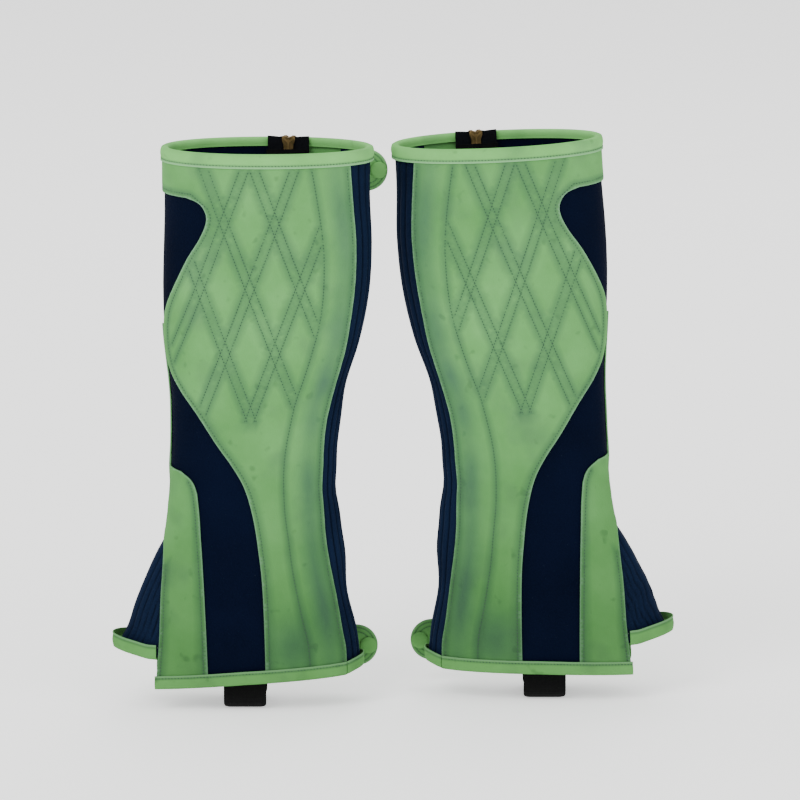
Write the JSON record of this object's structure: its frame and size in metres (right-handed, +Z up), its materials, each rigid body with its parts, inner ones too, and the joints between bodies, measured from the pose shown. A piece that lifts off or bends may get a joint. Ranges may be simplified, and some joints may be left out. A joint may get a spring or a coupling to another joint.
{
  "type": "riding gaiter pair",
  "caption": "Knee-high riding gaiters: navy shells with green suede panels, ribbed stretch calf, outer-side zip, snap tabs and an elastic under-foot strap.",
  "frame": {"origin": "Centre of the pair's footprint on the surface that the two under-foot straps stand on.", "axes": "+Z up along the legs, -Y towards the viewer, who sees the inner faces; +X towards the wearer's left gaiter. The toes point outwards."},
  "size_m": [0.415, 0.1167, 0.43],
  "materials": {
    "suede": "brushed green synthetic suede",
    "binding": "smooth green folded binding",
    "shell": "matt navy knit-faced shell",
    "stretch": "ribbed navy stretch",
    "elastic": "woven black elastic",
    "zip_tape": "woven black tape",
    "zip_teeth": "black moulded teeth",
    "zip_metal": "antique brass",
    "snap_metal": "warm nickel"
  },
  "bodies": {
    "right_gaiter": {"right_base_shell": "shell", "right_inner_grip_panel": "suede", "right_outer_side_panel": "suede", "right_ankle_strip": "suede", "right_instep_gusset": "stretch", "right_instep_binding": "binding", "right_top_binding_shell": "binding", "right_top_binding_calf": "binding", "right_hem_binding_inner": "binding", "right_hem_binding_outer": "binding", "right_hem_binding_calf": "binding", "right_calf_stretch_panel": "stretch", "right_zip_tape_front": "zip_tape", "right_zip_teeth_front": "zip_teeth", "right_zip_guard": "elastic", "right_stirrup_strap": "elastic", "right_top_stud": "snap_metal", "right_heel_stud": "snap_metal"},
    "right_zip_flap": {"right_zip_side_panel": "suede", "right_top_binding_flap": "binding", "right_hem_binding_flap": "binding", "right_zip_tape_rear": "zip_tape", "right_zip_teeth_rear": "zip_teeth", "right_top_tab_rivet": "snap_metal"},
    "right_zip_slider": {"right_zip_slider": "zip_metal"},
    "right_zip_puller": {"right_zip_puller": "zip_metal"},
    "right_top_tab": {"right_top_tab": "suede", "right_top_tab_snap": "snap_metal"},
    "right_heel_tab": {"right_heel_tab": "suede", "right_heel_tab_snap": "snap_metal"},
    "left_gaiter": {"left_base_shell": "shell", "left_inner_grip_panel": "suede", "left_outer_side_panel": "suede", "left_ankle_strip": "suede", "left_instep_gusset": "stretch", "left_instep_binding": "binding", "left_top_binding_shell": "binding", "left_top_binding_calf": "binding", "left_hem_binding_inner": "binding", "left_hem_binding_outer": "binding", "left_hem_binding_calf": "binding", "left_calf_stretch_panel": "stretch", "left_zip_tape_front": "zip_tape", "left_zip_teeth_front": "zip_teeth", "left_zip_guard": "elastic", "left_stirrup_strap": "elastic", "left_top_stud": "snap_metal", "left_heel_stud": "snap_metal"},
    "left_zip_flap": {"left_zip_side_panel": "suede", "left_top_binding_flap": "binding", "left_hem_binding_flap": "binding", "left_zip_tape_rear": "zip_tape", "left_zip_teeth_rear": "zip_teeth", "left_top_tab_rivet": "snap_metal"},
    "left_zip_slider": {"left_zip_slider": "zip_metal"},
    "left_zip_puller": {"left_zip_puller": "zip_metal"},
    "left_top_tab": {"left_top_tab": "suede", "left_top_tab_snap": "snap_metal"},
    "left_heel_tab": {"left_heel_tab": "suede", "left_heel_tab_snap": "snap_metal"}
  },
  "joints": [
    {"name": "left_gaiter_apart", "type": "slide", "parent": "right_gaiter", "child": "left_gaiter", "axis": [1, 0, 0], "range_m": [0, 0.15]},
    {"name": "right_zip_flap_opens", "type": "hinge", "parent": "right_gaiter", "child": "right_zip_flap", "pos_m": [-0.036, 0.0105, 0.02], "axis": [-0.0195, -0.0085, -0.9998], "range_deg": [0, 40]},
    {"name": "right_zip_slider_travel", "type": "slide", "parent": "right_gaiter", "child": "right_zip_slider", "axis": [0, -0.0174, -0.9998], "range_m": [0, 0.375]},
    {"name": "right_zip_puller_lift", "type": "hinge", "parent": "right_zip_slider", "child": "right_zip_puller", "pos_m": [-0.07776, 0.01998, 0.42423], "axis": [0.9833, -0.1822, 0], "range_deg": [0, 150]},
    {"name": "right_top_tab_fold", "type": "hinge", "parent": "right_zip_flap", "child": "right_top_tab", "pos_m": [-0.05154, 0.02079, 0.402], "axis": [0, 0, 1], "range_deg": [0, 176]},
    {"name": "right_heel_tab_fold", "type": "hinge", "parent": "right_zip_flap", "child": "right_heel_tab", "pos_m": [-0.05914, 0.0153, 0.037], "axis": [0, 0, 1], "range_deg": [0, 176]},
    {"name": "left_zip_flap_opens", "type": "hinge", "parent": "left_gaiter", "child": "left_zip_flap", "pos_m": [0.03715, 0.0405, 0.01735], "axis": [-0.0648, 0.0085, 0.9979], "range_deg": [0, 40]},
    {"name": "left_zip_slider_travel", "type": "slide", "parent": "left_gaiter", "child": "left_zip_slider", "axis": [0.0454, -0.0174, -0.9988], "range_m": [0, 0.375]},
    {"name": "left_zip_puller_lift", "type": "hinge", "parent": "left_zip_slider", "child": "left_zip_puller", "pos_m": [0.06053, 0.04998, 0.42306], "axis": [0.9822, 0.1822, 0.0446], "range_deg": [0, 150]},
    {"name": "left_top_tab_unfold", "type": "hinge", "parent": "left_zip_flap", "child": "left_top_tab", "pos_m": [0.03535, 0.05078, 0.39966], "axis": [-0.0454, 0, 0.999], "range_deg": [0, 176]},
    {"name": "left_heel_tab_fold", "type": "hinge", "parent": "left_zip_flap", "child": "left_heel_tab", "pos_m": [0.05949, 0.0453, 0.03538], "axis": [0.0454, 0, -0.999], "range_deg": [0, 176]}
  ],
  "couplings": [
    {"joint": "left_zip_puller_lift", "follows": "left_top_tab_unfold", "ratio": 0.85}
  ]
}
